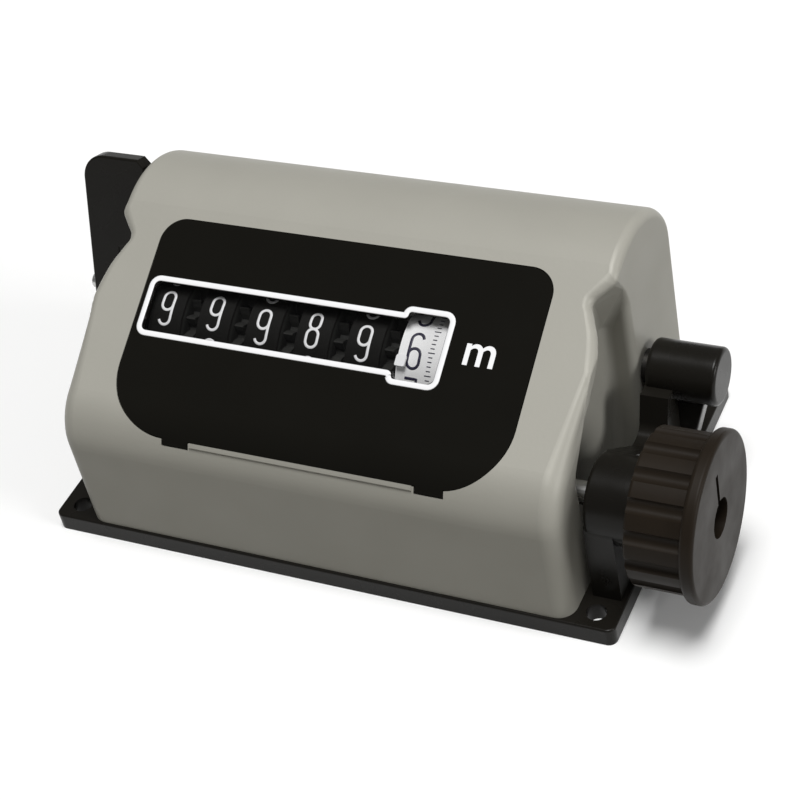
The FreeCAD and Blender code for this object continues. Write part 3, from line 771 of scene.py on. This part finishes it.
def wrapRound(piece, x, angle):
    # lays a flat print round a drum: its Y becomes distance round the rim
    y0, z0 = onSlope(drum["axisAlong"], drum["axisDepth"])
    for spot in piece.data.vertices:
        turn = angle - spot.co.y / drum["radius"]
        r = drum["radius"] + spot.co.z
        spot.co = Vector((x + spot.co.x, y0 + r * math.cos(turn), z0 + r * math.sin(turn))) * mm


# Numerals

numeral = {
    "half": 1.08,        # half width of the pen line
    "top": 3.04,         # half height
    "bowl": 0.70,        # middle of the lower bend of a 9's loop
    "small": 0.9,        # share of the width that the upper loop of an 8 has
    "stroke": 0.52,
    "rise": 0.05,
    "shift": -0.25,      # from the middle of a drum
    "lastShift": -0.35,  # the same on the last drum
}


def strokesOf(digit):
    # pen lines as (closed, points), from the middle of the numeral
    w, h = numeral["half"], numeral["top"]
    high, mid = h - w, numeral["bowl"]
    small = w * numeral["small"]
    ring = bow(0, high, w, 0, 180) + bow(0, mid, w, 180, 360)
    strokes = {
        0: [(True, bow(0, high, w, 0, 180) + bow(0, -high, w, 180, 360))],
        1: [(False, [(-0.7, h - 0.9), (0.1, h), (0.1, -h)])],
        2: [(False, bow(0, high, w, 175, -25) + [(-w, -h), (w, -h)])],
        3: [(False, bow(0, high, w, 170, -60) + [(0.1, 0.1)] + bow(0, -high, w, 60, -170))],
        4: [(False, [(w, -1.4), (-w, -1.4), (0.3, h)]), (False, [(0.45, 0.3), (0.45, -h)])],
        5: [(False, [(w, h), (-w, h), (-w, 0.5)] + bow(0, 0.2, w, 140, 0) + bow(0, -high, w, 0, -170))],
        6: [(True, [(-x, -y) for x, y in ring]), (False, [(-w, -mid)] + bow(0, high, w, 180, 10))],
        7: [(False, [(-w, h), (w, h), (-0.3, -h)])],
        8: [
            (True, bow(0, h - small, small, 0, 180) + bow(0, 0.2 + small, small, 180, 360)),
            (True, bow(0, 0.2 - w, w, 0, 180) + bow(0, -high, w, 180, 360)),
        ],
        9: [(True, ring), (False, [(w, mid)] + bow(0, -high, w, 0, -165))],
    }
    return strokes[digit]


def makeNumerals(k, masters):
    # the ten numerals of one drum, as one piece
    shift = numeral["lastShift"] if k == lastDrum else numeral["shift"]
    copies = []
    for digit, master in enumerate(masters):
        pick(master)
        bpy.ops.object.duplicate()
        copy = bpy.context.object
        wrapRound(copy, drumX(k) + shift, drumAngle(k, digit - drum["shown"][k]))
        copies.append(copy)
    pick(*copies)
    bpy.ops.object.join()
    work = bpy.context.object
    work.name = "numerals_%d" % (k + 1)
    return work


print("numerals")
masters = []
for digit in range(drum["digits"]):
    masters.append(drawLines("numeral%d" % digit, strokesOf(digit), numeral["stroke"], numeral["rise"]))
for k in range(drum["count"]):
    numerals = makeNumerals(k, masters)
    if k == lastDrum:
        putOn(numerals, "drum_%d" % (k + 1), printBlue)
    else:
        putOn(numerals, "drum_%d" % (k + 1), printWhite)
pick(*masters)
bpy.ops.object.delete()

# Graduations beside the last numerals, ten to a digit

ticks = {
    "x": 18.35,
    "count": 100,
    "longEvery": 5,
    "long": 1.2,
    "short": 0.75,
    "stroke": 0.2,
    "rise": 0.04,
}


def drawTicks():
    lines = []
    step = 2 * math.pi * drum["radius"] / ticks["count"]
    for n in range(ticks["count"]):
        reach = ticks["short"] if n % ticks["longEvery"] else ticks["long"]
        y = (n - ticks["count"] // 2) * step
        lines.append((False, [(-reach / 2, y), (reach / 2, y)]))
    return drawLines("graduations", lines, ticks["stroke"], ticks["rise"])


print("graduations")
graduations = drawTicks()
wrapRound(graduations, ticks["x"], drumAngle(lastDrum, 0))
putOn(graduations, "drum_6", printBlue)

# White line printed round the window, taller round the last drum

outline = {
    "left": -35.95,
    "step": 13.0,
    "right": 21.6,
    "low": 18.45,
    "high": 28.75,
    "tallLow": 17.1,
    "tallHigh": 30.0,
    "corner": 1.5,
    "stepCorner": 1.0,  # radius where the tall end begins
    "lowNotch": 0.5,    # radii inside the two steps
    "highNotch": 0.2,
    "stroke": 1.05,
    "rise": 0.05,
}


def windowLine():
    o = outline
    corners = [
        (o["left"], o["low"], o["corner"]),
        (o["step"], o["low"], o["lowNotch"]),
        (o["step"], o["tallLow"], o["stepCorner"]),
        (o["right"], o["tallLow"], o["corner"]),
        (o["right"], o["tallHigh"], o["corner"]),
        (o["step"], o["tallHigh"], o["stepCorner"]),
        (o["step"], o["high"], o["highNotch"]),
        (o["left"], o["high"], o["corner"]),
    ]
    return drawLines("windowOutline", [(True, roundedLoop(corners))], o["stroke"], o["rise"])


print("window print")
windowOutline = layOnSlope(windowLine())
putOn(windowOutline, "housing", printWhite)

# The unit, printed beside the window

unit = {
    "x": 24.75,
    "along": 22.0,
    "size": 8.0,
    "bold": 0.075,
    "rise": 0.04,
}


def drawUnit():
    deselectAll()
    bpy.ops.object.text_add()
    work = bpy.context.object
    work.name = "unitMark"
    work.data.body = "m"
    work.data.size = unit["size"]
    work.data.offset = unit["bold"]
    work.data.extrude = unit["rise"]
    bpy.ops.object.convert(target="MESH")
    work = bpy.context.object
    work.location = (unit["x"], unit["along"], 0)
    return applyPlace(work)


unitMark = layOnSlope(drawUnit())
putOn(unitMark, "housing", printWhite)

# Small white index fixed under the lens, beside the last drum

pointer = {
    "x": (12.6, 14.4),
    "along": (20.5, 22.5),
    "depth": (1.75, 2.15),
    "edge": 0.3,
}


def makePointer():
    top, under = pointer["depth"]
    work = block("indexPointer", pointer["x"], pointer["along"], (-under, -top))
    edit(work, "EDGE")
    chooseEdges(work, lambda middle: abs(middle.z + (top + under) / 2) < slack)
    bpy.ops.mesh.bevel(offset=pointer["edge"], segments=3, affect="EDGES")
    return layOnSlope(done(work))


indexPointer = makePointer()
putOn(indexPointer, "housing", printWhite)

# Stage, light and camera

lamps = {
    "top": {"from": (0.08, -0.10, 1.0), "spread": 26, "strength": 2.62},
    "right": {"from": (0.90, -0.05, 0.36), "spread": 24, "strength": 1.15},
}

stage = {
    "size": 30.0,                    # of the floor, in metres
    "seen": (0.95, 0.95, 0.945),
    "bounce": (0.10, 0.092, 0.07),
    "rough": 0.9,
    "sky": 0.16,
}


def larger(tree, first, second):
    step = tree.nodes.new("ShaderNodeMath")
    step.operation = "MAXIMUM"
    tree.links.new(first, step.inputs[0])
    tree.links.new(second, step.inputs[1])
    return step.outputs["Value"]


def floorLook():
    # white where it is seen, darker where it only throws light back
    material, tree, shader = newMaterial("floor")
    shader.inputs["Base Color"].default_value = (*stage["bounce"], 1)
    shader.inputs["Roughness"].default_value = stage["rough"]
    seen = tree.nodes.new("ShaderNodeBsdfDiffuse")
    seen.inputs["Color"].default_value = (*stage["seen"], 1)
    ray = tree.nodes.new("ShaderNodeLightPath").outputs
    looks = larger(tree, ray["Is Camera Ray"], ray["Is Glossy Ray"])
    looks = larger(tree, looks, ray["Is Transmission Ray"])
    blend = tree.nodes.new("ShaderNodeMixShader")
    tree.links.new(looks, blend.inputs["Fac"])
    tree.links.new(shader.outputs["BSDF"], blend.inputs[1])
    tree.links.new(seen.outputs["BSDF"], blend.inputs[2])
    tree.links.new(blend.outputs["Shader"], tree.nodes["Material Output"].inputs["Surface"])
    return material


print("stage")
deselectAll()
bpy.ops.mesh.primitive_plane_add(size=stage["size"], location=(0, 0, 0))
floor = bpy.context.object
floor.name = "floor"
floor.data.materials.append(floorLook())

for name, lamp in lamps.items():
    light = bpy.data.lights.new(name, "SUN")
    light.angle = math.radians(lamp["spread"])
    light.energy = lamp["strength"]
    holder = bpy.data.objects.new(name, light)
    holder.location = lamp["from"]
    holder.rotation_euler = (-Vector(lamp["from"])).to_track_quat("-Z", "Y").to_euler()
    bpy.context.scene.collection.objects.link(holder)

world = bpy.data.worlds.new("world")
world.use_nodes = True
background = world.node_tree.nodes["Background"]
background.inputs["Color"].default_value = (1, 1, 1, 1)
background.inputs["Strength"].default_value = stage["sky"]
bpy.context.scene.world = world
bpy.context.scene.view_settings.view_transform = "Standard"

print("camera")
lens = bpy.data.cameras.new("camera")
lens.lens = photoCamera["lens"]
lens.sensor_width = photoCamera["film"]
camera = bpy.data.objects.new("camera", lens)
camera.matrix_world = (
    Matrix.Translation(photoCamera["place"])
    @ Matrix.Rotation(math.radians(photoCamera["azimuth"]), 4, "Z")
    @ Matrix.Rotation(math.radians(90 - photoCamera["elevation"]), 4, "X")
    @ Matrix.Rotation(math.radians(photoCamera["roll"]), 4, "Z")
)
bpy.context.scene.collection.objects.link(camera)
bpy.context.scene.camera = camera

deselectAll()
